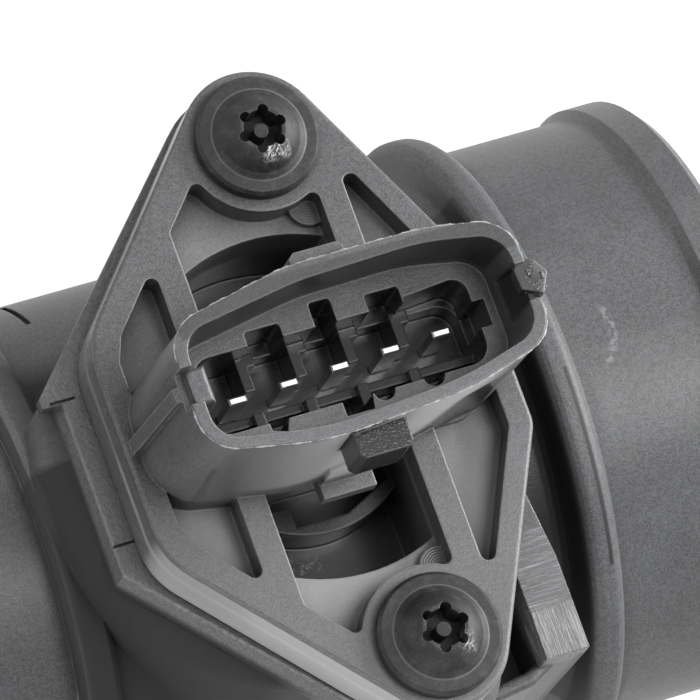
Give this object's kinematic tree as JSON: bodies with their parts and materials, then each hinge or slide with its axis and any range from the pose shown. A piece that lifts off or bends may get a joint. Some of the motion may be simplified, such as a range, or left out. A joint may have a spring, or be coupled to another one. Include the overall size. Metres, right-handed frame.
{
  "type": "mass airflow sensor",
  "caption": "Hot-film mass airflow meter: short black plastic measuring tube with a plug-in sensor, ribbed flange, tamper-proof screws and an oblong blade connector.",
  "frame": {"origin": "centre of the inlet end face, on the axis of the measuring tube", "axes": "+X along the tube from the inlet spigot to the beaded outlet; +Z out of the sensor flange; +Y towards the upper screw"},
  "size_m": [0.0963, 0.0523, 0.071],
  "materials": {
    "tube_plastic": "black glass-filled polyamide, fine speckle",
    "sensor_plastic": "dark grey glass-filled plastic, matt",
    "terminal_metal": "tinned, bright",
    "screw_steel": "black oxide with scuffs",
    "seal_rubber": "matt black",
    "carrier_steel": "plain sheet",
    "board_ceramic": "fired ceramic",
    "chip_black": "moulded package",
    "film_chip": "polished film",
    "thermistor_bead": "dipped bead",
    "lead_wire": "tinned wire",
    "grid_plastic": "black moulded",
    "mesh_steel": "stainless wire"
  },
  "bodies": {
    "root": {"housing_tube": "tube_plastic", "sensor_body": "sensor_plastic", "terminal_1": "terminal_metal", "terminal_2": "terminal_metal", "terminal_3": "terminal_metal", "terminal_4": "terminal_metal", "terminal_5": "terminal_metal", "screw_upper": "screw_steel", "screw_lower": "screw_steel", "seal_ring": "seal_rubber", "base_plate": "carrier_steel", "circuit_board": "board_ceramic", "evaluation_chip": "chip_black", "sensor_carrier": "carrier_steel", "sensor_chip": "film_chip", "electronics_cover": "sensor_plastic", "channel_cover": "sensor_plastic", "thermistor": "thermistor_bead", "thermistor_lead_1": "lead_wire", "thermistor_lead_2": "lead_wire", "flow_grid": "grid_plastic", "wire_mesh": "mesh_steel"}
  },
  "joints": []
}
